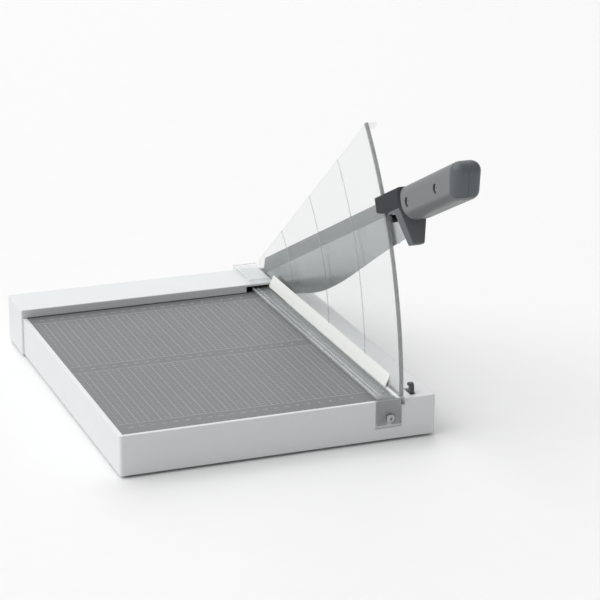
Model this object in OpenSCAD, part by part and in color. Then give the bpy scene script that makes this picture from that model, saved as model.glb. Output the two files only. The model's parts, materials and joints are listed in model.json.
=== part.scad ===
// Guillotine paper cutter: a ruled board with a rail across its back, a long curved
// blade on a sprung pivot inside the rail, and a clear clamp that carries the hand shield.
//
// Axes: +X to the right along the front wall, +Y back towards the rail, +Z up, z = 0 on
// the table. The origin is the middle of the whole footprint, handle included, in the
// pose drawn here, with the arm at rest_angle above the board.
//
// The arm's own outlines are drawn flat: their x is the distance from the pivot along the
// arm and their y is the height above the line through the pivot.

/* [Base] */
// Width of the base between its outer side faces
base_w = 287; // [250:1:345]
// Depth of the base from its front face to the back of the rail
base_d = 365; // [330:1:440]
// Height of the cutting board's surface above the table
deck_h = 38; // [34:0.5:50]
// Gap between the base and the table, filled by the feet
foot_gap = 2.2; // [1.5:0.1:4]
// Thickness of the base's moulded walls
wall = 3; // [2.4:0.1:3.6]
// Width of the rim that frames the board at the front and the left
rim = 3.8; // [3.8:0.1:6]
// Height of the rim above the board
lip_h = 0.3; // [0.2:0.1:0.6]
// Radius of the base's upright corners
corner_r = 3; // [1:0.5:6]
// Thickness of the cutting board
deck_t = 3; // [2:0.5:4]
// Thickness of the platform under the board
platform_t = 2.5; // [2:0.5:4]
// Thickness of the stiffening ribs under the platform
rib_t = 2; // [1.5:0.5:3]
// Thickness of the steel bottom plate
plate_t = 1.5; // [1:0.25:2.5]
// Distance from the cutting line to the base's right face
ledge_w = 32; // [28:1:42]
// Width of the slot that the moving blade drops into
slot_w = 3.5; // [2.8:0.1:4]

/* [Rail] */
// Depth of the rail, front to back
rail_d = 49.5; // [46:0.5:60]
// Height of the rail above the board
rail_h = 8.5; // [7:0.5:12]
// Thickness of the rail cover
rail_wall = 1.8; // [1.5:0.1:2.5]

/* [Feet] */
// Radius of a foot
foot_r = 5.5; // [4:0.5:7]
// Radius of a foot's stem
foot_stem_r = 3; // [2:0.5:3.5]
// Distance from the base's front and left faces to the centre of a foot
foot_inset = 9.4; // [9:0.2:14]

/* [Arm] */
// Angle of the arm above the board in the pose drawn
rest_angle = 25.5; // [5:0.5:35]
// Angle of the arm when the cut is finished
closed_angle = 3.2; // [3:0.1:5]
// Distance from the back of the rail to the pivot
pivot_back = 16.5; // [16.5:0.5:20]
// Depth of the pivot below the board's surface
pivot_drop = 8; // [7:0.5:9]
// Radius of the rounded ends of blade and bar round the pivot
hub_r = 13; // [10:0.5:13]
// Radius of the pivot bolt
pivot_r = 4; // [3:0.25:5]
// Thickness of the moving blade
blade_t = 2; // [1.5:0.1:2.4]
// Height of the blade's top edge above the pivot line
blade_top = 13.8; // [13:0.2:15]
// Depth of the cutting edge below the pivot line where the edge is straight
edge_drop = 9; // [7:0.5:10]
// Extra depth of the curved belly
belly = 17.3; // [10:0.1:19]
// Distance from the pivot to the deepest point of the belly
belly_at = 175; // [150:5:200]
// Length over which the belly deepens, on the pivot's side
belly_in = 110; // [80:5:130]
// Length over which the belly fades, on the handle's side
belly_out = 150; // [120:5:160]
// Distance that the blade reaches past the shield's rim
blade_past_rim = 34; // [30:1:36]
// Thickness of the arm bar
bar_t = 6; // [4:0.5:8]
// Height of the bar's lower edge above the pivot line
bar_lo = 8; // [7.8:0.1:9]
// Height of the bar's upper edge above the pivot line
bar_hi = 28.4; // [25:0.2:30]
// Radius of the rivets that join blade and bar
rivet_r = 1.5; // [1:0.25:2]
// Radius of the locking stud
stud_r = 1.6; // [1.2:0.1:1.8]
// Distance of the locking stud below the pivot line
stud_drop = 7.5; // [7:0.1:7.8]

/* [Handle] */
// Distance from the shield's rim to the nose of the grip
grip_past_rim = 44.5; // [43:0.5:50]
// Length of the grip with its end cap
grip_len = 124.8; // [104:0.2:150]
// Width of the grip across both halves
grip_w = 25.8; // [22:0.2:31]
// Height of the grip's top above the pivot line
grip_top = 30; // [29:0.2:31]
// Depth of the grip's underside below the pivot line, at the free end
grip_drop = 0.7; // [0.3:0.1:2]
// Lean of the grip's free end, whose top reaches further out
end_lean = 31; // [0:1:35]
// Radius of the grip's rounded nose
nose_r = 17.4; // [16:0.2:19]
// Height of the nose's centre above the pivot line
nose_p = 17.1; // [16:0.1:18]
// Length of the end cap at the height of the nose's centre
cap_len = 11.4; // [10:0.2:16]
// Lean of the seam between the grip and the end cap
cap_lean = 22; // [0:1:31]
// Radius of the grip's outer corners
grip_corner_r = 8.4; // [5:0.2:10]
// Thickness of the tongue on the bar inside the grip, upwards
tang_h = 13.5; // [8:0.5:14]
// Length of the collar that straddles the shield's rim, up to the guard
collar_len = 39; // [36:0.5:42]
// Depth of the finger guard's tip below the pivot line
guard_drop = 19; // [14:0.5:24]
// Width of the finger guard at its tip
guard_tip_w = 10.4; // [8:0.2:16]
// Seam between the guard and the grip
seam = 0.6; // [0.3:0.1:1]

/* [Clamp and shield] */
// Width of the clear clamp bar
clamp_w = 23.5; // [20:0.5:28]
// Thickness of the clamp bar and its brackets
clamp_t = 2; // [1.5:0.1:2.5]
// Distance that the clamp travels down onto the board
clamp_travel = 1.9; // [1:0.1:2.5]
// Length of the front bracket below the board's surface
bracket_h = 22; // [19:0.5:28]
// Thickness of the shield plate
shield_t = 2; // [1.5:0.1:3]
// Distance from the base's front face out to the shield's rim
rim_out = 3.8; // [3:0.1:6]
// Slope of the shield's straight top edge
shield_slope = 37.3; // [30:0.1:45]
// Distance of that edge above the parallel line through the pivot
shield_rise = 26.6; // [24:0.2:30]
// Length of the tab that stops the arm at the top
stop_len = 8; // [5:0.5:10]
// Thickness of the stop tab
stop_t = 2.5; // [2:0.1:4]
// Width of the stiffening profile on the clamp bar
profile_w = 4.6; // [4:0.1:6]
// Height of the stiffening profile
profile_h = 12; // [10:0.5:15]
// Wall of the stiffening profile
profile_wall = 1.1; // [0.8:0.1:1.3]
// Outer radius of the two lifting springs
spring_r = 2.5; // [2:0.1:3]
// Wire radius of the lifting springs
spring_wire = 0.35; // [0.25:0.05:0.5]

/* [Latch] */
// Thickness of the latch hook
latch_t = 4; // [3:0.5:5]
// Distance from the cutting line to the middle of the latch
latch_at = 13.4; // [12:0.2:15]
// Height of the hook's top above the locking stud, once the arm is closed
latch_h = 3.6; // [2.5:0.1:6]
// Radius of the latch pin
latch_pin_r = 1.5; // [1:0.1:2]

/* [Clearances] */
// Gap between the moving blade and the fixed blade
blade_gap = 0.1; // [0.05:0.01:0.2]
// Radial clearance of running fits
run = 0.05; // [0.02:0.01:0.1]
// Gap between pieces that are assembled against each other
fit = 0.1; // [0.05:0.05:0.3]
// Gap between pieces that slide past each other
slide = 0.2; // [0.15:0.05:0.4]
// Gap between the shield and the cutting line
shield_gap = 0.6; // [0.4:0.1:1]

/* [Hidden] */
$fn = 48;
eps = 0.01;
fixed_t = 4;                // thickness of the fixed blade
fixed_h = 14;               // height of the fixed blade
support_t = 3;              // wall behind the fixed blade
bracket_t = 6;              // upright of the pivot bracket
washer_t = 1;
disc_t = 1.4;
thrust_t = 1.45;
nut_h = 5;
bolt_head_h = 4.5;
screw_r = 1.6;              // housing screws
screw_head_r = 3.2;
screw_head_h = 1.4;
boss_r = 4;
guide_r = 2;                // shoulder of the clamp's guide screws
guide_head_r = 3.8;
guide_head_h = 2;
guide_down = 15.6;          // front guide screw, below the board
platform_lap = 8;           // how far board and platform run on under the rail
notch_extra = 6;            // rail cut-out beside the clamp bar
cup_wall = 1.2;             // wall of the cups under the lifting springs
recess_d = 1.5;             // depth of the recess that the front bracket slides in
hex_depth = 1.2;            // hexagon sockets of the guide screws
tab_side = 2.5;             // the rear tab is wider than the clamp bar by this
front_notch = 6;            // depth of the slot's outlet in the front wall, for the blade
profile_in = 21;            // front wall to the open end of the profile

// The base's edges. The origin is the middle of the whole footprint.
front_r = base_d - pivot_back;                  // pivot to front face
rim_r = front_r + rim_out;                      // pivot to the shield's rim
nose_end = rim_r + grip_past_rim;               // pivot to the grip's nose
grip_end = nose_end + grip_len;                 // pivot to the grip's end
end_r = grip_end - grip_corner_r;               // centre of the free end's upper corner
ahead = end_r * cos(rest_angle) - (grip_top - grip_corner_r) * sin(rest_angle) + grip_corner_r;
bracket_back = slide + clamp_t + fit + guide_head_h;
behind = pivot_back + bracket_back;
pivot_y = (ahead - behind) / 2;
x_l = -base_w / 2;
x_r = base_w / 2;
y_b = pivot_y + pivot_back;
y_f = y_b - base_d;
bracket_face = y_f + recess_d;                  // floor of the front bracket's recess
rail_y = y_b - rail_d;
z_b = foot_gap;
z_floor = foot_gap + plate_t;
z_lip = deck_h + lip_h;
z_plat = deck_h - deck_t;
pivot_z = deck_h - pivot_drop;
rail_top = deck_h + rail_h;
rail_lap = rail_wall + fit;                     // the cover stands outside the base by this
tray_back = y_b - rail_wall - fit;

// Places across the width, from the cutting line
cut_x = x_r - ledge_w;
blade_x = cut_x + blade_gap;
bar_x = blade_x + blade_t;
bar_x1 = bar_x + bar_t;
shield_x1 = cut_x - shield_gap;
shield_x = shield_x1 - shield_t;
clamp_x = shield_x1 - clamp_w;
ledge_x = cut_x + slot_w;
fixed_x = cut_x - fixed_t;
support_x = fixed_x - fit - support_t;
bracket_x = blade_x - run - thrust_t - bracket_t;
grip_x = bar_x + bar_t / 2 - grip_w / 2 - 1;
latch_x = cut_x + latch_at - latch_t / 2;

// Heights and lengths that moving pieces share
clamp_z = deck_h + clamp_travel + 0.1;          // underside of the clamp bar
tab_z = rail_top + clamp_travel + 0.15;         // underside of the rear tab
guide_x = clamp_x + 12.5;
rear_guide_z = deck_h - 4;
collar_r = rim_r - 6.3;                         // pivot to the collar's inner end
collar_top = grip_top + 0.4;
guard_at = collar_r + collar_len;               // pivot to the guard's front
guard_face = nose_end + 1;                      // pivot to the guard's face towards the hand
guard_shoulder = 13;                            // the guard narrows below this height
guard_slope = (grip_w - guard_tip_w) / 2 / (guard_shoulder + guard_drop);
guard_corner_r = 1.5;
cap_at = grip_end - cap_len;                    // pivot to the cap's seam
cap_foot = 2;                                   // cap's lower edge above the pivot line
cap_corner_r = 5;
tang_end = cap_at - 3;
stop_angle = shield_slope + asin(shield_rise / rim_r);
stud_at = front_r - 18.5;
stop_pad_at = rail_d - pivot_back - 5;          // pivot to the middle of the down stop
stop_pad_seat = 2.6;                            // depth of the down stop's seat in the ledge
stop_pad_top = pivot_z + (stop_pad_at - 3) * sin(closed_angle)
             + bar_lo * cos(closed_angle) - run;
bolt_at = rim_r + 9.7;
bolt_p = 9;
bolt_r = 2.5;                                   // guard bolt
bolt_cheek = 5.5;                               // bar's depth below the guard bolt
rivet_p = (bar_lo + blade_top) / 2;             // height of the rivets above the pivot line
grip_sleeve_r = 3;                              // sleeve nuts of the grip
latch_y = y_f + 12.6;                           // latch pin
latch_z = deck_h - 12;
stud_y = pivot_y - stud_at * cos(closed_angle) - stud_drop * sin(closed_angle);
stud_z = pivot_z + stud_at * sin(closed_angle) - stud_drop * cos(closed_angle);
hook_r = norm([stud_y - latch_y, stud_z - latch_z]) + stud_r + slide;
hook_eye_r = 4;
hook_neck = 0.8;                                // pin's middle to the neck's rear face
hook_reach = 4;                                 // pin's middle to the head's tip
hook_back = 3.4;                                // pin's middle to the neck's front face
foot_places = [for (x = [x_l + foot_inset, cut_x - 11], y = [y_f + foot_inset, y_b - 12]) [x, y]];
spring_places = [for (y = [y_f + 20, rail_y + 3.4]) [shield_x - 5.6, y]];
spring_floor = z_plat - 5;
rail_bosses = [for (x = [x_l + 14, -8, bracket_x - 23, x_r - 11]) [x, rail_y + 27]];
tray_bosses = [for (x = [x_l + 24, -20], y = [y_f + 30, rail_y - 40]) [x, y]];
fixed_screw_y = [for (i = [0:3]) y_f + 30 + i * (rail_y - y_f - 50) / 3];
fixed_screw_z = deck_h - 9;
bracket_bolts = [for (dy = [-11, -4]) [bracket_x - 7, pivot_y + dy]];
rivets = [for (i = [0:4]) 60 + i * (rim_r - 92) / 4];
grip_screw_at = [nose_end + 19.2, nose_end + 81.2];
grip_screw_p = 14.8;

// ---------------------------------------------------------------- helpers

// A box given by its two corners
module span(a, b) {
  translate(a) cube(b - a);
}

// A flat rectangle with rounded corners, given by its two corners
module round_rect(a, b, r) {
  for (x = [a.x + r, b.x - r], y = [a.y + r, b.y - r]) translate([x, y]) circle(r);
  translate([a.x + r, a.y]) square([b.x - a.x - 2 * r, b.y - a.y]);
  translate([a.x, a.y + r]) square([b.x - a.x, b.y - a.y - 2 * r]);
}

// A flat outline in Y and Z, given a thickness along +X from x0
module side_plate(x0, t) {
  translate([x0, 0, 0]) rotate([90, 0, 90]) linear_extrude(t) children();
}

// The arm's frame: x0 and t across, and a flat outline drawn from the pivot outwards
module arm_plate(x0, t) {
  translate([0, pivot_y, pivot_z]) rotate([-rest_angle, 0, 0])
    side_plate(x0, t) mirror([1, 0]) children();
}

// A cylinder along X through the arm at distance r and height p
module arm_rod(r, p, x0, t, rad) {
  translate([0, pivot_y, pivot_z]) rotate([-rest_angle, 0, 0])
    translate([x0, -r, p]) rotate([0, 90, 0]) cylinder(r = rad, h = t);
}

module x_rod(p, t, rad) {
  translate(p) rotate([0, 90, 0]) cylinder(r = rad, h = t);
}

// A cylinder that points along -Y from p
module y_rod(p, t, rad) {
  translate(p) rotate([90, 0, 0]) cylinder(r = rad, h = t);
}

// A screw that points up from below: its head's underside is at p
module up_screw(p, len, rad, head_r, head_h) {
  translate(p) {
    cylinder(r = rad, h = len);
    difference() {
      translate([0, 0, -head_h]) cylinder(r = head_r, h = head_h);
      translate([0, 0, -head_h - eps]) cylinder(r = head_r * 0.45, h = head_h * 0.6, $fn = 6);
    }
  }
}

// Points on an arc from angle a to angle b
function arc(c, r, a, b, n = 12) =
  [for (i = [0:n]) let (t = a + (b - a) * i / n) c + r * [cos(t), sin(t)]];

// ---------------------------------------------------------------- base

// Everything of the tray that is taken away from its outer block
module tray_hollows() {
  ledge_in = ledge_x + wall - 0.5;
  // under the platform, from the left wall to the wall behind the fixed blade
  span([x_l + wall, y_f + wall, z_b - 1],
       [support_x, rail_y + platform_lap - wall, z_plat - platform_t]);
  // room for the board
  span([x_l + rim, y_f + rim, z_plat], [fixed_x, rail_y + platform_lap + eps, z_lip + 1]);
  // room for the fixed blade, and the slot beside it
  span([fixed_x - fit, y_f + rim, deck_h - fixed_h - fit],
       [cut_x + eps, rail_y + platform_lap + eps, z_lip + 1]);
  span([fixed_x - fit, y_f + wall + 0.8, z_b - 1],
       [ledge_x, rail_y + platform_lap + eps, z_lip + 1]);
  // inside the right-hand ledge
  span([ledge_in, y_f + wall, z_b - 1], [x_r - wall, rail_y + platform_lap - wall, z_lip - wall]);
  // behind the platform, under the rail
  span([x_l + wall, rail_y + platform_lap, z_b - 1], [x_r - wall, tray_back - wall, z_lip + 1]);
  // seat of the bottom plate
  span([x_l + wall, y_f + wall, z_b - 1], [x_r - wall, tray_back - wall, z_floor]);
}

module tray_ribs() {
  rib_top = z_plat - platform_t + eps;
  for (i = [1:2]) {
    x = x_l + wall + i * (support_x - x_l - wall) / 3;
    span([x, y_f + wall - eps, z_floor],
         [x + rib_t, rail_y + platform_lap - wall + eps, rib_top]);
  }
  for (i = [1:3]) {
    y = y_f + wall + i * (rail_y - y_f) / 4;
    span([x_l + wall - eps, y, z_floor], [support_x + eps, y + rib_t, rib_top]);
  }
  for (p = tray_bosses) translate([p.x, p.y, z_floor]) cylinder(r = boss_r, h = rib_top - z_floor);
  // walls that carry the latch pin
  for (x = [latch_x - fit - wall, latch_x + latch_t + fit])
    span([x, y_f + wall - eps, latch_z - 5], [x + wall, latch_y + 8, z_lip - wall + eps]);
  // boss behind the front guide screw
  y_rod([guide_x, y_f + wall + 6, deck_h - guide_down], 6 + eps, boss_r);
}

module base_tray() color([0.93, 0.94, 0.94]) {
  difference() {
    union() {
      difference() {
        translate([0, 0, z_b]) linear_extrude(z_lip - z_b)
          round_rect([x_l, y_f], [x_r, tray_back], corner_r);
        tray_hollows();
      }
      tray_ribs();
      // cups under the two lifting springs
      for (p = spring_places)
        translate([p.x, p.y, spring_floor - 1.5])
          cylinder(r = spring_r + slide + cup_wall, h = z_plat - spring_floor + 1.4);
    }
    // recess that the clamp's front bracket slides in
    span([clamp_x - slide, y_f - 1, deck_h - bracket_h - clamp_travel - 1],
         [shield_x1 + slide, bracket_face, z_lip + 1]);
    span([clamp_x - slide, y_f - 1, deck_h - 0.2], [shield_x1 + slide, y_f + rim + 1, z_lip + 1]);
    y_rod([guide_x, y_f + wall + 4, deck_h - guide_down], wall + 5, screw_r);
    for (p = spring_places)
      translate([p.x, p.y, spring_floor]) cylinder(r = spring_r + slide, h = deck_h - spring_floor);
    for (p = tray_bosses) translate([p.x, p.y, z_floor - 1]) cylinder(r = screw_r, h = 14);
    // outlet of the blade's slot in the front wall
    span([shield_x1 + slide - eps, y_f - 1, deck_h - front_notch], [ledge_x, y_f + wall + 1, z_lip + 1]);
    // latch slot and the latch pin's bore
    span([latch_x - 0.5, y_f + 6.5, z_lip - wall - 1], [latch_x + latch_t + 0.5, latch_y + 10, z_lip + 1]);
    x_rod([latch_x - fit - wall - 1, latch_y, latch_z], latch_t + 2 * wall + 4, latch_pin_r);
    // seats of the fixed blade's screws
    for (y = fixed_screw_y) x_rod([support_x - 1, y, fixed_screw_z], support_t + 3, screw_r + fit);
    // gap in the rear wall behind the pivot
    span([guide_x - boss_r - 2, tray_back - wall - 1, z_floor + 5], [bar_x1 + 4, tray_back + 1, z_lip + 1]);
    // seat of the down stop
    span([bar_x + 1.6, pivot_y - stop_pad_at - 3, z_lip - stop_pad_seat],
         [bar_x1 - eps, pivot_y - stop_pad_at + 3, z_lip + 1]);
  }
}

module deck_panel() color([0.42, 0.43, 0.45]) difference() {
  span([x_l + rim + fit, y_f + rim + fit, z_plat], [fixed_x - fit, rail_y + platform_lap - 1, deck_h]);
  for (p = spring_places) translate([p.x, p.y, z_plat - 1]) cylinder(r = spring_r + slide, h = deck_t + 2);
}

module rail_cover() color([0.95, 0.95, 0.95]) difference() {
  union() {
    difference() {
      translate([0, 0, z_b]) linear_extrude(rail_top - z_b)
        round_rect([x_l - rail_lap, rail_y], [x_r + rail_lap, y_b], 1.5);
      span([x_l - fit, rail_y + rail_wall, z_b - 1], [x_r + fit, y_b - rail_wall, rail_top - rail_wall]);
      span([x_l - fit, rail_y - 1, z_b - 1], [x_r + fit, rail_y + rail_wall + eps, z_lip + fit]);
    }
    for (p = rail_bosses)
      translate([p.x, p.y, z_floor]) cylinder(r = boss_r, h = rail_top - rail_wall - z_floor + eps);
    y_rod([guide_x, y_b - eps, rear_guide_z], 7, boss_r);
  }
  for (p = rail_bosses) translate([p.x, p.y, z_floor - 1]) cylinder(r = screw_r, h = 14);
  y_rod([guide_x, y_b + 1, rear_guide_z], 7, screw_r);
  // slot for the arm, and the notch in the front that the clamp bar enters
  span([cut_x - 0.8, rail_y - 1, z_lip - 1], [bar_x1 + 0.9, pivot_y + 12, rail_top + 1]);
  span([clamp_x - notch_extra, rail_y - 1, z_lip - 1],
       [cut_x, rail_y + rail_wall + eps, rail_top - rail_wall - 0.6]);
}

module bottom_plate() color([0.55, 0.56, 0.58]) difference() {
  span([x_l + wall + fit, y_f + wall + fit, z_b],
       [x_r - wall - fit, tray_back - wall - fit, z_floor]);
  for (p = concat(rail_bosses, tray_bosses, bracket_bolts))
    translate([p.x, p.y, z_b - 1]) cylinder(r = screw_r + fit, h = plate_t + 2);
  for (p = foot_places) translate([p.x, p.y, z_b - 1]) cylinder(r = foot_stem_r, h = plate_t + 2);
}

module rubber_feet() color([0.12, 0.12, 0.13])
  for (p = foot_places) translate([p.x, p.y, 0]) {
    cylinder(r1 = foot_r - 0.8, r2 = foot_r, h = z_b / 2, $fn = 32);
    translate([0, 0, z_b / 2]) cylinder(r = foot_r, h = z_b / 2, $fn = 32);
    translate([0, 0, z_b - eps]) cylinder(r = foot_stem_r, h = plate_t + 1.5, $fn = 32);
  }

module fixed_blade() color([0.72, 0.74, 0.76]) difference() {
  span([fixed_x, y_f + rim + fit, deck_h - fixed_h], [cut_x, rail_y + platform_lap + 5, deck_h]);
  for (y = fixed_screw_y) x_rod([fixed_x - 1, y, fixed_screw_z], fixed_t, screw_r);
}

module fixed_blade_screws() color([0.6, 0.6, 0.62])
  for (y = fixed_screw_y) {
    x_rod([support_x - 1.6, y, fixed_screw_z], 1.6, screw_head_r);
    x_rod([support_x - eps, y, fixed_screw_z], support_t + fit + 2.8, screw_r);
  }

// ---------------------------------------------------------------- pivot

module pivot_bracket() color([0.5, 0.52, 0.55]) difference() {
  union() {
    span([bracket_x, pivot_y - hub_r - 1, z_floor], [bracket_x + bracket_t, pivot_y + hub_r - 3, pivot_z]);
    x_rod([bracket_x, pivot_y, pivot_z], bracket_t, hub_r - 3);
    span([bracket_x - 14, pivot_y - hub_r - 1, z_floor], [bracket_x + eps, pivot_y, z_floor + 4]);
  }
  x_rod([bracket_x - 1, pivot_y, pivot_z], bracket_t + 2, pivot_r + run / 2);
  for (p = bracket_bolts) translate([p.x, p.y, z_floor - 1]) cylinder(r = screw_r, h = 6);
}

module bracket_screws() color([0.6, 0.6, 0.62])
  for (p = bracket_bolts) up_screw([p.x, p.y, z_b], plate_t + 3.5, screw_r, screw_head_r, screw_head_h);

module thrust_washer() color([0.72, 0.6, 0.35]) difference() {
  x_rod([bracket_x + bracket_t, pivot_y, pivot_z], thrust_t, hub_r - 2);
  x_rod([bracket_x, pivot_y, pivot_z], bracket_t + thrust_t + 2, pivot_r + run);
}

module pivot_bolt() color([0.66, 0.67, 0.7]) {
  x_rod([bracket_x - washer_t - nut_h - 1, pivot_y, pivot_z],
        bar_x1 + run + washer_t + disc_t - bracket_x + washer_t + nut_h + 1, pivot_r);
  translate([bar_x1 + run + washer_t + disc_t, pivot_y, pivot_z]) rotate([0, 90, 0])
    difference() {
      cylinder(r = pivot_r * 1.85, h = bolt_head_h);
      translate([0, 0, bolt_head_h - 2]) cylinder(r = 2.9, h = 3, $fn = 6);
    }
}

module ring_x(x0, t, r_out, r_in) {
  difference() {
    x_rod([x0, pivot_y, pivot_z], t, r_out);
    x_rod([x0 - 1, pivot_y, pivot_z], t + 2, r_in);
  }
}

module flat_washer() color([0.7, 0.7, 0.72]) ring_x(bar_x1 + run, washer_t, hub_r - 3, pivot_r + run);

// A dished spring washer, drawn as a shallow cone pressed nearly flat
module disc_spring() color([0.45, 0.46, 0.5])
  translate([bar_x1 + run + washer_t, pivot_y, pivot_z]) rotate([0, 90, 0])
    rotate_extrude() polygon([
      [pivot_r + run, 0.5], [hub_r - 4, 0], [hub_r - 4, disc_t - 0.5], [pivot_r + run, disc_t]
    ]);

module lock_nut() color([0.7, 0.7, 0.72]) difference() {
  x_rod([bracket_x - washer_t - nut_h, pivot_y, pivot_z], nut_h + washer_t, pivot_r * 1.7);
  for (a = [0:60:300]) translate([bracket_x - washer_t - nut_h - 1, pivot_y, pivot_z]) rotate([a, 0, 0])
    translate([0, -pivot_r * 3, pivot_r * 1.55]) cube([nut_h + 1, pivot_r * 6, pivot_r]);
  x_rod([bracket_x - washer_t - nut_h - 1, pivot_y, pivot_z], nut_h + washer_t + 2, pivot_r);
}

module down_stop() color([0.1, 0.1, 0.11])
  span([bar_x + 1.6 + fit, pivot_y - stop_pad_at - 3 + fit, z_lip - stop_pad_seat],
       [bar_x1 - fit, pivot_y - stop_pad_at + 3 - fit, stop_pad_top]);

// ---------------------------------------------------------------- clamp fittings on the base

// A point of the wire's middle line, at share a of its length
function coil_point(a, h, turns, r) =
  [r * cos(a * 360 * turns), r * sin(a * 360 * turns), spring_wire + a * (h - 2 * spring_wire)];

// A helical spring of wire radius spring_wire, standing on the origin
module coil(h, turns, r) {
  rings = turns * 14;
  sides = 6;
  points = [
    for (i = [0:rings])
      let (c = coil_point(i / rings, h, turns, r), a = i / rings * 360 * turns)
        for (k = [0:sides - 1])
          let (b = k * 360 / sides)
            c + spring_wire * [cos(b) * cos(a), cos(b) * sin(a), sin(b)]
  ];
  side_faces = [for (i = [0:rings - 1]) for (k = [0:sides - 1])
    [i * sides + k, i * sides + (k + 1) % sides,
     (i + 1) * sides + (k + 1) % sides, (i + 1) * sides + k]];
  first = [for (k = [sides - 1:-1:0]) k];
  last = [for (k = [0:sides - 1]) rings * sides + k];
  polyhedron(points, concat(side_faces, [first, last]), convexity = 10);
}

module clamp_springs() color([0.68, 0.69, 0.72])
  for (p = spring_places) translate([p.x, p.y, spring_floor])
    coil(clamp_z - spring_floor, 5, spring_r - spring_wire);

module guide_screws() color([0.62, 0.63, 0.65]) {
  translate([guide_x, bracket_face, deck_h - guide_down]) guide_screw(wall + 2);
  translate([guide_x, y_b, rear_guide_z]) rotate([0, 0, 180]) guide_screw(wall + 3);
}

// A pan-headed shoulder screw. Its thread starts at the origin and runs len along +Y.
module guide_screw(len) {
  shoulder = clamp_t + slide + fit;
  y_rod([0, 0, 0], shoulder, guide_r);
  y_rod([0, len, 0], len + eps, screw_r - eps);
  difference() {
    y_rod([0, -shoulder, 0], guide_head_h, guide_head_r);
    translate([0, -shoulder - guide_head_h + hex_depth, 0]) rotate([90, 0, 0])
      cylinder(r = 1.5, h = 2, $fn = 6);
  }
}

module housing_screws() color([0.6, 0.6, 0.62])
  for (p = concat(rail_bosses, tray_bosses))
    up_screw([p.x, p.y, z_b], 12, screw_r - eps, screw_head_r, screw_head_h);

module latch_pin() color([0.7, 0.7, 0.72])
  x_rod([latch_x - fit - wall + 0.5, latch_y, latch_z], latch_t + 2 * fit + 2 * wall - 1, latch_pin_r - eps);

// ---------------------------------------------------------------- arm

// Height of the cutting edge at distance r from the pivot
function edge_p(r) =
  -edge_drop - belly * exp(-pow((r - belly_at) / (r < belly_at ? belly_in : belly_out), 2));

module blade_outline() {
  end = rim_r + blade_past_rim;
  steps = 48;
  circle(hub_r);
  polygon(concat(
    [[end, blade_top], [0, blade_top - 2]],
    [for (i = [0:steps]) let (r = 8 + i * (end - 8) / steps) [r, edge_p(r)]]
  ));
}

module moving_blade() color([0.7, 0.72, 0.74]) difference() {
  arm_plate(blade_x, blade_t) blade_outline();
  arm_rod(0, 0, blade_x - 1, blade_t + 2, pivot_r + run);
  for (r = rivets) arm_rod(r, rivet_p, blade_x - 1, blade_t + 2, rivet_r);
  arm_rod(stud_at, -stud_drop, blade_x - 1, blade_t + 2, stud_r * 0.75);
  arm_rod(bolt_at, bolt_p, blade_x - 1, blade_t + 2, bolt_r + fit);
}

module bar_outline() {
  circle(hub_r);
  polygon([
    [12, -5], [20, bar_lo], [bolt_at - 10, bar_lo], [bolt_at - 8, bolt_p - bolt_cheek],
    [bolt_at + 10, bolt_p - bolt_cheek], [bolt_at + 12, bar_lo], [tang_end, bar_lo],
    [tang_end, bar_lo + tang_h], [nose_end - 4, bar_lo + tang_h], [nose_end - 8, bar_hi],
    [9, bar_hi], [-6, hub_r - 1.5]
  ]);
}

module arm_bar() color([0.62, 0.64, 0.66]) difference() {
  arm_plate(bar_x, bar_t) bar_outline();
  arm_rod(0, 0, bar_x - 1, bar_t + 2, pivot_r + run);
  for (r = rivets) arm_rod(r, rivet_p, bar_x - 1, bar_t + 2, rivet_r);
  for (r = grip_screw_at) arm_rod(r, grip_screw_p, bar_x - 1, bar_t + 2, grip_sleeve_r + fit);
  arm_rod(bolt_at, bolt_p, bar_x - 1, bar_t + 2, bolt_r + fit);
}

module blade_rivets() color([0.75, 0.76, 0.78])
  for (r = rivets) {
    arm_rod(r, rivet_p, blade_x + eps, blade_t + bar_t + 0.5, rivet_r - eps);
    arm_rod(r, rivet_p, bar_x1 + eps, 1, rivet_r * 1.7);
  }

module locking_stud() color([0.75, 0.76, 0.78]) {
  arm_rod(stud_at, -stud_drop, blade_x + eps, blade_t + eps, stud_r * 0.75 - eps);
  arm_rod(stud_at, -stud_drop, bar_x + eps, latch_x + latch_t - bar_x, stud_r);
}

module guard_bolt() color([0.08, 0.08, 0.09]) {
  arm_rod(bolt_at, bolt_p, blade_x - 3.2, 3.2 - eps, 3.4);
  arm_rod(bolt_at, bolt_p, blade_x - 0.5, blade_t + bar_t + 4.2, bolt_r);
}

module guard_nut() color([0.2, 0.2, 0.21]) difference() {
  arm_rod(bolt_at, bolt_p, bar_x1 + eps, 3.6, 4.4);
  arm_rod(bolt_at, bolt_p, bar_x1 - 1, 6, bolt_r + eps);
}

// The whole grip from its nose to its free end. grow makes it larger all round.
module grip_outline(grow = 0) {
  c = nose_end + nose_r;
  r = grip_corner_r;
  low = r - grip_drop;
  high = grip_top - r;
  low_r = end_r - (high - low) * tan(end_lean);
  intersection() {
    union() {
      translate([c, nose_p]) circle(nose_r + grow, $fn = 96);
      polygon(concat(
        [[c, nose_p - nose_r - grow]],
        arc([low_r, low], r + grow, -90, -end_lean),
        arc([end_r, high], r + grow, -end_lean, 90),
        [[c, grip_top + grow]]
      ));
    }
    translate([nose_end - 5, -50]) square([grip_len + 10, 50 + grip_top + grow]);
  }
}

// The part of the grip's outline that the end cap takes
module cap_region(grow = 0) {
  translate([cap_at, nose_p]) rotate(-cap_lean)
    round_rect([-grow, cap_foot - nose_p - grow], [50, 50], cap_corner_r);
}

module grip_half(x0, t) {
  difference() {
    arm_plate(x0, t) difference() {
      grip_outline();
      cap_region(fit);
    }
    arm_plate(bar_x - fit, bar_t + 2 * fit)
      translate([nose_end - 20, bar_lo - fit]) square([tang_end + fit - nose_end + 20, tang_h + 2 * fit]);
  }
}

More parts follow.
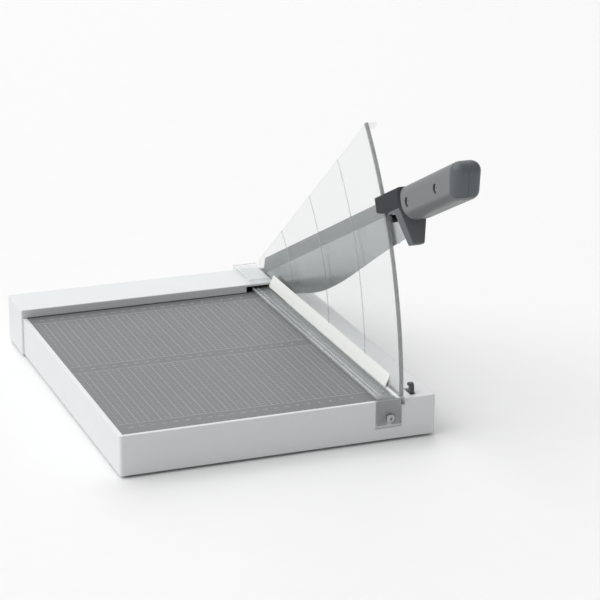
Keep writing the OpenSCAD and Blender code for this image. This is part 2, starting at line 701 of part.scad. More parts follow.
module grip_left() color([0.5, 0.51, 0.53]) difference() {
  grip_half(grip_x, grip_w / 2);
  for (r = grip_screw_at) {
    arm_rod(r, grip_screw_p, grip_x - 1, grip_w, grip_sleeve_r + fit);
    arm_rod(r, grip_screw_p, grip_x - 1, 4.5, 4.2);
  }
}

module grip_right() color([0.5, 0.51, 0.53]) difference() {
  grip_half(grip_x + grip_w / 2, grip_w / 2);
  for (r = grip_screw_at) {
    arm_rod(r, grip_screw_p, grip_x, grip_w + 1, grip_sleeve_r + fit);
    arm_rod(r, grip_screw_p, grip_x + grip_w - 3.5, 4.5, 4.2);
  }
}

module grip_cap() color([0.33, 0.35, 0.36]) difference() {
  arm_plate(grip_x, grip_w) intersection() {
    grip_outline();
    cap_region();
  }
  arm_plate(bar_x - fit, bar_t + 2 * fit)
    translate([tang_end - 20, bar_lo - fit]) square([20 + fit, tang_h + 2 * fit]);
}

module grip_screws() color([0.55, 0.56, 0.58])
  for (r = grip_screw_at) difference() {
    union() {
      arm_rod(r, grip_screw_p, grip_x + 1.2, 2.3, 3.8);
      arm_rod(r, grip_screw_p, grip_x + 3, grip_w - 8, 2);
    }
    arm_rod(r, grip_screw_p, grip_x + 1, 1.4, 1.6);
  }

module grip_nuts() color([0.6, 0.61, 0.63])
  for (r = grip_screw_at) difference() {
    union() {
      arm_rod(r, grip_screw_p, grip_x + grip_w - 3.4, 2.4, 3.8);
      arm_rod(r, grip_screw_p, grip_x + 10, grip_w - 13.4, grip_sleeve_r);
    }
    arm_rod(r, grip_screw_p, grip_x + 9, grip_w - 13, 2 + eps);
  }

// Collar, the ring round the grip's nose, and the finger guard that hangs below them
module guard_outline() {
  r = guard_corner_r;
  polygon(concat(
    [[collar_r, blade_top + 3], [guard_at, 9.8]],
    arc([guard_at + 2.4 + r, r - guard_drop], r, 180, 270),
    arc([guard_face - r, r - guard_drop], r, 270, 360),
    [[guard_face, nose_p], [nose_end + 8, grip_top], [collar_r, collar_top]]
  ));
}

// Half the guard's width at height p
function guard_half(p) = guard_tip_w / 2 + (p + guard_drop) * guard_slope;

// A wedge round the guard, which gives the guard its taper towards the tip
module guard_wedge() {
  low = -guard_drop - 1;
  high = grip_top + 5;
  middle = grip_x + grip_w / 2;
  translate([0, pivot_y, pivot_z]) rotate([-rest_angle, 0, 0]) translate([0, 1 - collar_r, 0])
    rotate([90, 0, 0]) linear_extrude(guard_face - collar_r + 10) polygon([
      [middle - guard_half(low), low], [middle + guard_half(low), low],
      [middle + guard_half(high), high], [middle - guard_half(high), high]
    ]);
}

module hand_guard() color([0.26, 0.28, 0.3]) difference() {
  intersection() {
    arm_plate(grip_x, grip_w) difference() {
      guard_outline();
      grip_outline(seam);
    }
    guard_wedge();
  }
  // the shield's rim runs through here
  arm_plate(shield_x - 1, shield_t + 1.4) translate([collar_r - 1, -60]) square([rim_r + 2 - collar_r, 120]);
  // seats of the blade and the bar
  seat_low = edge_p(rim_r + blade_past_rim) - 1;
  arm_plate(shield_x + shield_t, bar_x1 + fit - shield_x - shield_t)
    translate([collar_r - 1, seat_low])
      square([rim_r + blade_past_rim + 1.7 - collar_r, bar_hi + fit - seat_low]);
  arm_plate(bar_x - fit, bar_t + 2 * fit)
    translate([collar_r - 1, bar_lo - fit]) square([nose_end + 6 - collar_r, bar_hi - bar_lo + 2 * fit]);
  // room for the bolt's head and nut
  arm_rod(bolt_at, bolt_p, grip_x - 1, grip_w + 2, 5);
}

// ---------------------------------------------------------------- clamp

module clamp_bar() color([0.8, 0.86, 0.88, 0.45]) {
  front = bracket_face - slide;
  span([clamp_x, front - clamp_t, clamp_z], [shield_x1, rail_y + 7, clamp_z + clamp_t]);
  translate([0, front, 0]) rotate([90, 0, 0]) linear_extrude(clamp_t) difference() {
    round_rect([clamp_x, deck_h - bracket_h], [shield_x1, clamp_z + clamp_t], 1.5);
    guide_slot(deck_h - guide_down, deck_h - bracket_h - 5);
  }
}

// A slot that is open below and leaves the clamp its travel
module guide_slot(screw_z, bottom) {
  top = screw_z + clamp_travel + 0.1;
  translate([guide_x, top]) circle(guide_r + slide / 2);
  translate([guide_x - guide_r - slide / 2, bottom]) square([2 * guide_r + slide, top - bottom]);
}

module clamp_profile() color([0.93, 0.93, 0.9]) {
  w = profile_w;
  h = profile_h;
  t = profile_wall;
  translate([shield_x - fit / 2, y_f + profile_in, clamp_z + clamp_t]) rotate([90, 0, 0]) mirror([0, 0, 1])
    linear_extrude(rail_y - y_f - profile_in - 1) difference() {
      polygon([[0, 0], [0, h], [-w * 0.63, h / 2], [-w, h / 6], [-w, 0]]);
      polygon([[-t, t], [-t, h * 0.6], [-w + t, h / 6], [-w + t, t]]);
    }
}

module shield_outline() {
  s = shield_slope;
  foot = clamp_z + clamp_t - pivot_z;
  back = 8.5;
  // the straight top edge is y = shield_rise along the slope
  top_at_back = shield_rise / cos(s) - back * tan(s);
  intersection() {
    circle(rim_r, $fn = 180);
    polygon([
      [rim_r * cos(asin(foot / rim_r)) + 1, foot], [rail_d - pivot_back + 0.5, foot],
      [rail_d - pivot_back + 0.5, tab_z - pivot_z], [-back, tab_z - pivot_z],
      [-back, top_at_back], [0, shield_rise / cos(s)],
      [rim_r * cos(stop_angle), rim_r * sin(stop_angle)], [rim_r, rim_r * sin(stop_angle)]
    ]);
  }
}

module blade_shield() color([0.8, 0.86, 0.88, 0.35]) {
  translate([0, pivot_y, pivot_z]) side_plate(shield_x, shield_t) mirror([1, 0]) shield_outline();
  // tab that stops the arm at the top of its swing
  translate([shield_x + shield_t - eps, pivot_y, pivot_z]) rotate([-stop_angle, 0, 0])
    translate([0, -rim_r, -stop_t]) cube([stop_len, 8, stop_t]);
  // tab on the rail's top, and the rear bracket that hangs from it
  span([clamp_x - tab_side, rail_y, tab_z], [shield_x1, y_b + slide + clamp_t, tab_z + clamp_t]);
  translate([0, y_b + slide + clamp_t, 0]) rotate([90, 0, 0]) linear_extrude(clamp_t) difference() {
    round_rect([clamp_x - tab_side, rear_guide_z - 5], [shield_x1, tab_z + clamp_t], 1.5);
    guide_slot(rear_guide_z, rear_guide_z - 10);
  }
}

// ---------------------------------------------------------------- latch

// The hook round its pin: x towards the back, y up. The head's underside follows the
// locking stud's path, so that the head leans over the stud once the arm is closed.
module hook_outline() {
  top = hook_r + latch_h;
  difference() {
    union() {
      circle(hook_eye_r);
      polygon([
        [hook_neck, 0], [hook_neck, sqrt(pow(hook_r, 2) - pow(hook_neck, 2))],
        [hook_reach, sqrt(pow(hook_r, 2) - pow(hook_reach, 2))], [hook_reach, top - 2],
        [hook_reach * 0.6, top - 0.5], [0, top], [-hook_back * 0.6, top - 0.6],
        [-hook_back, top - 3], [-hook_back, 0]
      ]);
    }
    circle(latch_pin_r + run);
  }
}

module latch_hook() color([0.3, 0.31, 0.33])
  translate([0, latch_y, latch_z]) side_plate(latch_x, latch_t) hook_outline();

base_tray();
deck_panel();
rail_cover();
bottom_plate();
rubber_feet();
fixed_blade();
fixed_blade_screws();
pivot_bracket();
bracket_screws();
thrust_washer();
pivot_bolt();
flat_washer();
disc_spring();
lock_nut();
down_stop();
clamp_springs();
guide_screws();
housing_screws();
latch_pin();
moving_blade();
arm_bar();
blade_rivets();
locking_stud();
guard_bolt();
guard_nut();
hand_guard();
grip_left();
grip_right();
grip_cap();
grip_screws();
grip_nuts();
clamp_bar();
clamp_profile();
blade_shield();
latch_hook();
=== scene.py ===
import json
import math

import bmesh
import bpy
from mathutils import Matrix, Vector

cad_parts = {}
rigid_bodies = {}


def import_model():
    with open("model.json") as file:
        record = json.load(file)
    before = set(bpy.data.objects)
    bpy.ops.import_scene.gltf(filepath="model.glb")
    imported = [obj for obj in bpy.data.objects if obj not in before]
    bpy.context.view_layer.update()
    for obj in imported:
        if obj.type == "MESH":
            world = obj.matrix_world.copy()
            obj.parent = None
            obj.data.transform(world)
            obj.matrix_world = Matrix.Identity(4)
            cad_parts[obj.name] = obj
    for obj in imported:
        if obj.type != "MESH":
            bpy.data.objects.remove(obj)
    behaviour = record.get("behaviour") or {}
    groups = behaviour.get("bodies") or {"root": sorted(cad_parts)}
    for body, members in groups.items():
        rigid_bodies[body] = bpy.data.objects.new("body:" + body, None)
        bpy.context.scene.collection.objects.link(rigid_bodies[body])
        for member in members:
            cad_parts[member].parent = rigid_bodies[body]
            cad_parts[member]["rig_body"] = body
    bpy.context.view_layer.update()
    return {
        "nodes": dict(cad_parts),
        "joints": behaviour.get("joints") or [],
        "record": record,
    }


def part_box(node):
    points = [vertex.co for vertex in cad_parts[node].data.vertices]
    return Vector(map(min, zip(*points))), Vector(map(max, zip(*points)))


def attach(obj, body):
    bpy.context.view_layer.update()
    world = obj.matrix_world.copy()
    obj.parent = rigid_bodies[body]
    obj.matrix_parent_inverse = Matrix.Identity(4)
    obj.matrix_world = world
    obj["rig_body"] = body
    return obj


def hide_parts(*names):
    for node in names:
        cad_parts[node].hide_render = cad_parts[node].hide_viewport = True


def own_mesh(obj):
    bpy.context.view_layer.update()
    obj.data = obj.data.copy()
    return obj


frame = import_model()

MM = 0.001
NODES = frame["nodes"]
JOINTS = {joint["name"]: joint for joint in frame["joints"]}
PIVOT = Vector(JOINTS["arm_pivot"]["pos_m"])
REST_ANGLE = math.radians(25.5)  # the arm's angle above level at rest

deck_low, deck_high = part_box("deck_panel")
base_low, base_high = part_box("base_tray")
rail_low, rail_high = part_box("rail_cover")
blade_low, blade_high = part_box("moving_blade")
clamp_low, clamp_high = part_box("clamp_bar")
shield_low, shield_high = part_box("blade_shield")
profile_low, profile_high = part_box("clamp_profile")
fixed_low, fixed_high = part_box("fixed_blade")
grip_left, grip_middle = (corner.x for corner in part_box("grip_left"))
grip_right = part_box("grip_right")[1].x

# ------------------------------------------------------------------ camera

# The camera's place from the board's inner front left corner in metres, its turn in degrees,
# and its lens on a sensor, both in mm
CAMERA_OFFSET = (-0.5143, -1.7489, 0.7395)
CAMERA_TURN = (71.162, -0.339, -20.891)
LENS = 141.4
SENSOR = 36
DECK_GAP = 0.1 * MM              # between the board and the tray's wall

board_corner = Vector((deck_low.x - DECK_GAP, deck_low.y - DECK_GAP, deck_high.z))


def make_camera():
    data = bpy.data.cameras.new("camera")
    data.sensor_width = SENSOR
    data.lens = LENS
    camera = bpy.data.objects.new("camera", data)
    camera.location = board_corner + Vector(CAMERA_OFFSET)
    camera.rotation_euler = [math.radians(angle) for angle in CAMERA_TURN]
    bpy.context.scene.collection.objects.link(camera)
    bpy.context.scene.camera = camera


make_camera()

# ------------------------------------------------------------------ materials

BUMP_DEPTH = 0.2 * MM
COAT_ROUGHNESS = 0.12
IOR = 1.5
SMOOTHEST = 0.02
BROAD_DETAIL = 5
FINE_DETAIL = 3


def surface(name, colour, rough, metal=0.0, mottle=0.04, mottle_scale=40, rough_spread=0.06,
            grain=0.1, grain_scale=1800, stretch=(1, 1, 1), alpha=1.0, coat=0.0):
    """A material whose colour, roughness and surface vary a little, as a real finish does.
    stretch draws the pattern out along an axis, as brushing and grinding do."""
    made = bpy.data.materials.new(name)
    made.use_nodes = True
    nodes, links = made.node_tree.nodes, made.node_tree.links
    shader = nodes["Principled BSDF"]
    shader.inputs["Metallic"].default_value = metal
    shader.inputs["IOR"].default_value = IOR
    shader.inputs["Alpha"].default_value = alpha
    shader.inputs["Coat Weight"].default_value = coat
    shader.inputs["Coat Roughness"].default_value = COAT_ROUGHNESS
    place = nodes.new("ShaderNodeTexCoord")
    mapping = nodes.new("ShaderNodeMapping")
    mapping.inputs["Scale"].default_value = stretch
    links.new(place.outputs["Object"], mapping.inputs["Vector"])

    broad = nodes.new("ShaderNodeTexNoise")
    broad.inputs["Scale"].default_value = mottle_scale
    broad.inputs["Detail"].default_value = BROAD_DETAIL
    links.new(mapping.outputs["Vector"], broad.inputs["Vector"])
    tint = nodes.new("ShaderNodeMix")
    tint.data_type = "RGBA"
    tint.inputs["A"].default_value = [c * (1 - mottle) for c in colour] + [1]
    tint.inputs["B"].default_value = [min(1, c * (1 + mottle)) for c in colour] + [1]
    links.new(broad.outputs["Fac"], tint.inputs["Factor"])
    links.new(tint.outputs["Result"], shader.inputs["Base Color"])

    fine = nodes.new("ShaderNodeTexNoise")
    fine.inputs["Scale"].default_value = grain_scale
    fine.inputs["Detail"].default_value = FINE_DETAIL
    links.new(mapping.outputs["Vector"], fine.inputs["Vector"])
    spread = nodes.new("ShaderNodeMapRange")
    spread.inputs["To Min"].default_value = max(SMOOTHEST, rough - rough_spread)
    spread.inputs["To Max"].default_value = rough + rough_spread
    links.new(fine.outputs["Fac"], spread.inputs["Value"])
    links.new(spread.outputs["Result"], shader.inputs["Roughness"])
    bump = nodes.new("ShaderNodeBump")
    bump.inputs["Strength"].default_value = grain
    bump.inputs["Distance"].default_value = BUMP_DEPTH
    links.new(fine.outputs["Fac"], bump.inputs["Height"])
    links.new(bump.outputs["Normal"], shader.inputs["Normal"])
    return made


ALONG_BLADE = (1, 0.05, 1)       # fine lines that run front to back
UPRIGHT = (1, 1, 0.2)            # fine lines that run up and down

FINISHES = {
    "white_plastic": dict(colour=(0.735, 0.755, 0.76), rough=0.45, mottle=0.02, grain=0.12),
    "deck_grey": dict(colour=(0.182, 0.189, 0.195), rough=0.6, mottle=0.05, grain=0.15),
    "ruling_white": dict(colour=(0.42, 0.44, 0.44), rough=0.6, mottle=0.08, mottle_scale=300),
    "plate_steel": dict(colour=(0.42, 0.43, 0.44), rough=0.42, metal=0.6, mottle=0.1),
    "rubber": dict(colour=(0.025, 0.025, 0.028), rough=0.75, grain=0.3, grain_scale=900),
    "blade_steel": dict(colour=(0.49, 0.51, 0.515), rough=0.24, metal=1.0, grain=0.05,
                        grain_scale=1400, stretch=ALONG_BLADE, rough_spread=0.09),
    "ground_steel": dict(colour=(0.72, 0.73, 0.74), rough=0.18, metal=1.0, grain=0.12,
                         grain_scale=2600, stretch=UPRIGHT, rough_spread=0.1),
    "arm_metal": dict(colour=(0.235, 0.25, 0.255), rough=0.4, metal=0.2, mottle=0.05, coat=0.15),
    "zinc": dict(colour=(0.42, 0.43, 0.44), rough=0.3, metal=1.0, mottle=0.12, mottle_scale=400),
    "bronze": dict(colour=(0.5, 0.36, 0.17), rough=0.4, metal=1.0, mottle=0.15, mottle_scale=300),
    "spring_steel": dict(colour=(0.5, 0.51, 0.53), rough=0.3, metal=1.0, mottle=0.1),
    "black_steel": dict(colour=(0.02, 0.02, 0.022), rough=0.4, metal=0.4, mottle=0.2),
    "grip_plastic": dict(colour=(0.16, 0.166, 0.17), rough=0.38, grain=0.16, grain_scale=2200),
    "cap_plastic": dict(colour=(0.108, 0.12, 0.126), rough=0.5, grain=0.22, grain_scale=1500),
    "guard_plastic": dict(colour=(0.012, 0.015, 0.02), rough=0.6, grain=0.18),
    # The next two are lighter and darker copies of the guard's finish for its fin: painted light on the
    # sides, painted shade on the face under the grip
    "guard_side_painted_light": dict(colour=(0.145, 0.158, 0.165), rough=0.45, grain=0.18),
    "guard_face": dict(colour=(0.1, 0.108, 0.115), rough=0.5, grain=0.2),
    "black_plastic": dict(colour=(0.08, 0.085, 0.088), rough=0.45, grain=0.15),
    "cream_plastic": dict(colour=(0.86, 0.87, 0.84), rough=0.34, grain=0.08, stretch=ALONG_BLADE),
    "clear_plastic": dict(colour=(0.62, 0.66, 0.66), rough=0.07, mottle=0.05, mottle_scale=12,
                          rough_spread=0.03, grain=0.015, grain_scale=60, alpha=0.13, coat=0.4),
    "clear_bar": dict(colour=(0.6, 0.64, 0.64), rough=0.08, mottle=0.05, mottle_scale=20,
                      rough_spread=0.03, grain=0.01, grain_scale=90, stretch=ALONG_BLADE,
                      alpha=0.2, coat=0.5),
    # A darker, denser copy of the clear finish for the clamp's bent front below the board: painted shade
    # on a side that faces away from the light
    "clear_front_painted_shade": dict(colour=(0.2, 0.215, 0.22), rough=0.12, mottle=0.08, mottle_scale=30,
                        rough_spread=0.04, grain=0.01, grain_scale=90, alpha=0.42, coat=0.6),
    "clear_edge": dict(colour=(0.2, 0.215, 0.22), rough=0.12, mottle=0.1, mottle_scale=25,
                       rough_spread=0.05, grain=0.01, grain_scale=90, alpha=0.55, coat=0.6),
    "clear_rib": dict(colour=(0.5, 0.53, 0.53), rough=0.12, mottle=0.06, rough_spread=0.05,
                      grain=0.02, grain_scale=90, alpha=0.32, coat=0.5),
    "clear_ridge": dict(colour=(0.75, 0.79, 0.79), rough=0.1, mottle=0.06, rough_spread=0.04,
                        grain=0.01, grain_scale=90, stretch=ALONG_BLADE, alpha=0.3, coat=0.6),
}
MATERIALS = {name: surface(name, **finish) for name, finish in FINISHES.items()}

# ------------------------------------------------------------------ mesh helpers

TOUCH = 0.05 * MM                # points this close to a plane lie on it
SAME_POINT = 0.002 * MM
FLAT_ANGLE = math.radians(0.6)   # faces that meet at less are one flat face
SHADE_ANGLE = math.radians(32)   # edges that are shaded sharp
ROUND_ANGLE = math.radians(35)   # edges that are rounded
ROUNDED_BY = 1.5                 # an edge shorter than this share of a rounding belongs to it


def arm_point(x, r, p):
    """A point of the arm at rest: r outwards from the pivot, p above the line through it."""
    return Vector((x, PIVOT.y - r * math.cos(REST_ANGLE) + p * math.sin(REST_ANGLE),
                   PIVOT.z + r * math.sin(REST_ANGLE) + p * math.cos(REST_ANGLE)))


def arm_place(point):
    """r and p of a point of the arm at rest."""
    out, up = PIVOT.y - point.y, point.z - PIVOT.z
    return (out * math.cos(REST_ANGLE) + up * math.sin(REST_ANGLE),
            -out * math.sin(REST_ANGLE) + up * math.cos(REST_ANGLE))


def to_object(bm, name):
    """The bmesh as a new object, smooth but for its sharp edges."""
    bmesh.ops.recalc_face_normals(bm, faces=bm.faces)
    mesh = bpy.data.meshes.new(name)
    bm.to_mesh(mesh)
    bm.free()
    mesh.shade_smooth()
    mesh.set_sharp_from_angle(angle=SHADE_ANGLE)
    made = bpy.data.objects.new(name, mesh)
    bpy.context.scene.collection.objects.link(made)
    weighted = made.modifiers.new("weighted", "WEIGHTED_NORMAL")
    weighted.keep_sharp = True
    return made


def dress(piece, body, slot, material, *nodes):
    """Gives a piece its material and its body, and hides the CAD nodes that it stands for. slot is not
    used.
    """
    piece.data.materials.clear()
    piece.data.materials.append(MATERIALS[material])
    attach(piece, body)
    if nodes:
        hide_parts(*nodes)
    return piece


def slot_of(node):
    """The record's material slot of a CAD node."""
    for part in frame["record"]["subparts"]:
        if part["node"] == node:
            return part["material_slot"]


def everywhere(edge):
    return True


def outward(edge):
    """True for an edge that stands out, so that no fillet grows in a corner that moves on it."""
    return edge.is_convex


def longer_than(length):
    """A test for edges longer than the given length."""
    return lambda edge: edge.calc_length() > length


def softened(node, rules):
    """A copy of a CAD node whose sharp edges are rounded. Each rule is a width in mm, a number
    of segments and a test for the edges that it rounds."""
    bm = bmesh.new()
    bm.from_mesh(NODES[node].data)
    bmesh.ops.remove_doubles(bm, verts=bm.verts, dist=SAME_POINT)
    bmesh.ops.dissolve_limit(bm, angle_limit=FLAT_ANGLE, verts=bm.verts, edges=bm.edges)
    done = bm.edges.layers.int.new("done")
    for width, segments, test in rules:
        chosen = [edge for edge in bm.edges
                  if len(edge.link_faces) == 2 and not edge[done]
                  and edge.calc_face_angle(0) > ROUND_ANGLE and test(edge)]
        for edge in chosen:
            edge[done] = 1
        bmesh.ops.bevel(bm, geom=chosen, offset=width * MM, segments=segments, profile=0.5,
                        affect="EDGES", clamp_overlap=False, loop_slide=True)
        for edge in bm.edges:
            edge[done] = 1 if edge.calc_length() < ROUNDED_BY * width * MM else 0
    return bm


def soft_copy(node, width, segments, test=everywhere):
    """A rounded copy of a CAD node that stands for it, with the node's own finish."""
    piece = to_object(softened(node, [(width, segments, test)]), node + "_piece")
    dress(piece, NODES[node]["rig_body"], slot_of(node), slot_of(node), node)


def loft(rings, bm=None):
    """A closed skin over rings of points, with a flat face at each end."""
    bm = bm or bmesh.new()
    rows = [[bm.verts.new(point) for point in ring] for ring in rings]
    count = len(rows[0])
    for lower, upper in zip(rows, rows[1:]):
        for i in range(count):
            j = (i + 1) % count
            bm.faces.new((lower[i], lower[j], upper[j], upper[i]))
    bm.faces.new(list(reversed(rows[0])))
    bm.faces.new(rows[-1])
    return bm


def rounded_box(bm, low, high, radius, segments=2):
    """Adds a box with rounded edges, given by two corners."""
    made = bmesh.ops.create_cube(bm, size=1)
    centre, size = (Vector(low) + Vector(high)) / 2, Vector(high) - Vector(low)
    for vert in made["verts"]:
        vert.co = centre + Vector(a * b for a, b in zip(vert.co, size))
    edges = {edge for vert in made["verts"] for edge in vert.link_edges}
    bmesh.ops.bevel(bm, geom=list(edges), offset=radius, segments=segments, profile=0.5,
                    affect="EDGES", clamp_overlap=True)


def rod(bm, start, end, radius, sides):
    """Adds a round rod between two points."""
    along = (end - start).normalized()
    side = along.orthogonal().normalized()
    other = along.cross(side)
    turns = [i * 2 * math.pi / sides for i in range(sides)]
    loft([[centre + (side * math.cos(t) + other * math.sin(t)) * radius for t in turns]
          for centre in (start, end)], bm)


def combined(target, cutter, operation):
    """The target's mesh after a boolean with the cutter, as a new object. Both are used up."""
    target.modifiers.clear()
    cut = target.modifiers.new("cut", "BOOLEAN")
    cut.operation = operation
    cut.solver = "EXACT"
    cut.object = cutter
    bpy.context.view_layer.update()
    result = target.evaluated_get(bpy.context.evaluated_depsgraph_get())
    bm = bmesh.new()
    bm.from_mesh(result.to_mesh())
    name = target.name
    for used in (target, cutter):
        bpy.data.objects.remove(used)
    bmesh.ops.remove_doubles(bm, verts=bm.verts, dist=SAME_POINT)
    return to_object(bm, name)


# ------------------------------------------------------------------ base

OUTSIDE = 1.3 * MM               # how far inside the base's box its outer edges may lie
TRAY_ROUND = 0.9                 # roundings, in mm
TRAY_TOP_ROUND = 0.25
RAIL_ROUND = 0.8
OUTER_SEGMENTS = 4

# The rounding of the base's other nodes: width in mm, segments, and which edges
BASE_ROUNDING = {
    "deck_panel": (0.15, 2, everywhere),
    "bottom_plate": (0.2, 2, everywhere),
    "rubber_feet": (0.5, 3, everywhere),
    "fixed_blade": (0.12, 2, everywhere),
    "down_stop": (0.4, 3, everywhere),
    "fixed_blade_screws": (0.25, 2, everywhere),
    "bracket_screws": (0.25, 2, everywhere),
    "housing_screws": (0.25, 2, everywhere),
    "latch_pin": (0.25, 2, everywhere),
    "guide_screws": (0.5, 3, outward),
    "pivot_bracket": (0.4, 2, everywhere),
    "pivot_bolt": (0.5, 3, everywhere),
    "thrust_washer": (0.12, 2, everywhere),
    "flat_washer": (0.12, 2, everywhere),
    "disc_spring": (0.12, 2, everywhere),
    "lock_nut": (0.3, 2, everywhere),
}


def make_tray():
    """The tray, rounded most along its outer edges."""
    def on_outside(edge):
        return all(min(x - base_low.x, base_high.x - x, y - base_low.y, base_high.y - y) <= OUTSIDE
                   for x, y, z in (vert.co for vert in edge.verts))

    def on_top(edge):
        return all(vert.co.z > deck_high.z - 2 * TOUCH for vert in edge.verts)

    rules = [(TRAY_ROUND, OUTER_SEGMENTS, on_outside), (TRAY_TOP_ROUND, 2, on_top)]
    tray = to_object(softened("base_tray", rules), "tray_shell")
    dress(tray, "base", "white_plastic", "white_plastic", "base_tray")


def make_rail():
    """The rear rail's cover, rounded above the board and along its outer edges."""
    def rail_edge(edge):
        points = [vert.co for vert in edge.verts]
        return all(point.z > deck_high.z for point in points) or all(
            min(point.x - rail_low.x, rail_high.x - point.x, rail_high.y - point.y) < OUTSIDE
            for point in points)

    rail = to_object(softened("rail_cover", [(RAIL_ROUND, OUTER_SEGMENTS, rail_edge)]), "rail_shell")
    dress(rail, "base", "white_plastic", "white_plastic", "rail_cover")


# The ruling's places, from the board's inner front left corner and the cutting line, in mm
RULE_STEP = 5
BANDS = [(2.5, 22.5), (152, 168.5), (292.5, 309)]
NUMBER_ROWS = [13.6, 160.2, 300.6]
LEFT_MARGIN = 1.2
RIGHT_MARGIN = 0.6
LINE_FINE = 0.2
LINE_BOLD = 0.42
BAND_LINE = 1.3 * LINE_BOLD
TICK_FROM = 0.8                  # ticks along the board's front edge
TICK_FINE = 1.1
TICK_BOLD = 1.8
SCALE_STEP = 10                  # ticks along the board's left edge
SCALE_FROM = 4
SCALE_TICK = 0.9                 # half its length
PRINT_HEIGHT = 0.05
PRINT_DEPTH = 0.01               # how far the print reaches into the board
DIGIT_SIZE = 4.4
NUMBER_STEP = 10
FIRST_NUMBER = 24
LAST_NUMBER = 4


def strip(bm, x0, x1, y0, y1):
    """Adds a printed stroke: a closed, very thin slab on the board."""
    z0, z1 = deck_high.z - PRINT_DEPTH * MM, deck_high.z + PRINT_HEIGHT * MM
    loft([[Vector((x0, y0, z)), Vector((x1, y0, z)), Vector((x1, y1, z)), Vector((x0, y1, z))]
          for z in (z0, z1)], bm)


def make_ruling():
    """The printed grid with its three bands, as thin strokes on the board."""
    bm = bmesh.new()
    cut_x, left = fixed_high.x, deck_low.x + LEFT_MARGIN * MM
    right = fixed_low.x - RIGHT_MARGIN * MM
    front, back = board_corner.y, rail_low.y
    rows = [(BANDS[0][1], BANDS[1][0]), (BANDS[1][1], BANDS[2][0])]
    columns = int((cut_x - left) / (RULE_STEP * MM))
    for k in range(1, columns + 1):
        x = cut_x - k * RULE_STEP * MM
        if x > right or x < left:
            continue
        width = (LINE_BOLD if k % 2 == 0 else LINE_FINE) * MM
        for low, high in rows:
            strip(bm, x - width / 2, x + width / 2, front + low * MM, front + high * MM)
        tick = TICK_BOLD if k % 2 == 0 else TICK_FINE
        strip(bm, x - width / 2, x + width / 2,
              front + TICK_FROM * MM, front + (TICK_FROM + tick) * MM)
    for low, high in rows:
        count = round((high - low) / RULE_STEP)
        for k in range(count + 1):
            y = front + (low + k * (high - low) / count) * MM
            width = (BAND_LINE if k in (0, count) else LINE_FINE) * MM
            strip(bm, left, right, y - width / 2, y + width / 2)
    last = BANDS[2][1]
    strip(bm, left, right, front + last * MM, front + (last + LINE_BOLD) * MM)
    for k in range(int((back - front) / (SCALE_STEP * MM))):
        y = front + (SCALE_FROM + SCALE_STEP * k) * MM
        strip(bm, left - SCALE_TICK * MM, left + SCALE_TICK * MM, y, y + LINE_FINE * MM)
    dress(to_object(bm, "board_ruling"), "base", "white_plastic", "ruling_white")


def make_numbers():
    """The centimetres from the cutting line, in three rows."""
    bm = bmesh.new()
    top = deck_high.z + PRINT_HEIGHT * MM
    for number in range(FIRST_NUMBER, LAST_NUMBER - 1, -1):
        curve = bpy.data.curves.new("digits", "FONT")
        curve.body = str(number)
        curve.size = DIGIT_SIZE * MM
        curve.extrude = PRINT_HEIGHT * MM
        curve.resolution_u = 2
        curve.align_x = curve.align_y = "CENTER"
        text = bpy.data.objects.new("digits", curve)
        bpy.context.scene.collection.objects.link(text)
        bpy.context.view_layer.update()
        shown = text.evaluated_get(bpy.context.evaluated_depsgraph_get())
        mesh = bpy.data.meshes.new_from_object(shown)
        for row in NUMBER_ROWS:
            first = len(bm.verts)
            bm.from_mesh(mesh)
            bm.verts.ensure_lookup_table()
            x = fixed_high.x - number * NUMBER_STEP * MM
            place = Vector((x, board_corner.y + row * MM, top))
            for vert in bm.verts[first:]:
                vert.co += place
        bpy.data.meshes.remove(mesh)
        bpy.data.objects.remove(text)
        bpy.data.curves.remove(curve)
    dress(to_object(bm, "board_numbers"), "base", "white_plastic", "ruling_white")


COIL_TURNS = 5
COIL_STEPS = 28                  # rings of the wire to a turn
COIL_RADIUS = 2.15 * MM
WIRE = 0.35 * MM                 # the wire's radius
WIRE_SIDES = 12
FLAT_END = 0.5 / COIL_TURNS      # the last half turn at each end lies flat


def make_springs():
    """The clamp's two lifting springs, at the height of the CAD springs."""
    low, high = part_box("clamp_springs")
    steps = COIL_TURNS * COIL_STEPS
    height = high.z - low.z - 2 * WIRE
    middle_x = (low.x + high.x) / 2
    reach = COIL_RADIUS + WIRE
    places = [("front_spring", low.y + reach, ["clamp_springs"]), ("rear_spring", high.y - reach, [])]
    for name, y, stands_for in places:
        rings = []
        for i in range(steps + 1):
            t = i / steps
            turn = t * COIL_TURNS * 2 * math.pi
            rise = min(1, max(0, (t - FLAT_END / 2) / (1 - FLAT_END)))
            out = Vector((math.cos(turn), math.sin(turn), 0))
            centre = Vector((middle_x, y, low.z + WIRE + rise * height)) + out * COIL_RADIUS
            rings.append([centre + WIRE * (math.cos(a) * out + math.sin(a) * Vector((0, 0, 1)))
                          for a in (k * 2 * math.pi / WIRE_SIDES for k in range(WIRE_SIDES))])
        spring = to_object(loft(rings), name)
        dress(spring, "base", "spring_steel", "spring_steel", *stands_for)
        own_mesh(spring)


def make_base():
    make_tray()
    make_rail()
    for node, rounding in BASE_ROUNDING.items():
        soft_copy(node, *rounding)
    make_ruling()
    make_numbers()
    make_springs()


# ------------------------------------------------------------------ blade and arm

GROUND = 3.2                     # width of the ground bevel along the cutting edge, mm
EDGE_FROM = 8.9                  # the cutting edge lies this far below the pivot line, mm
HUB = 13                         # rounded end round the pivot, mm
HUB_MARGIN = 0.2
HUB_STEP = 15                    # degrees between the points of the rounded end
LAND = 0.15 * MM                 # flat left along the edge, on the inner side
SHOULDER = 0.25 * MM             # what is left of the outer side's depth above the bevel
SLANTED = (0.15, 0.97)           # how much a face of the bevel looks sideways

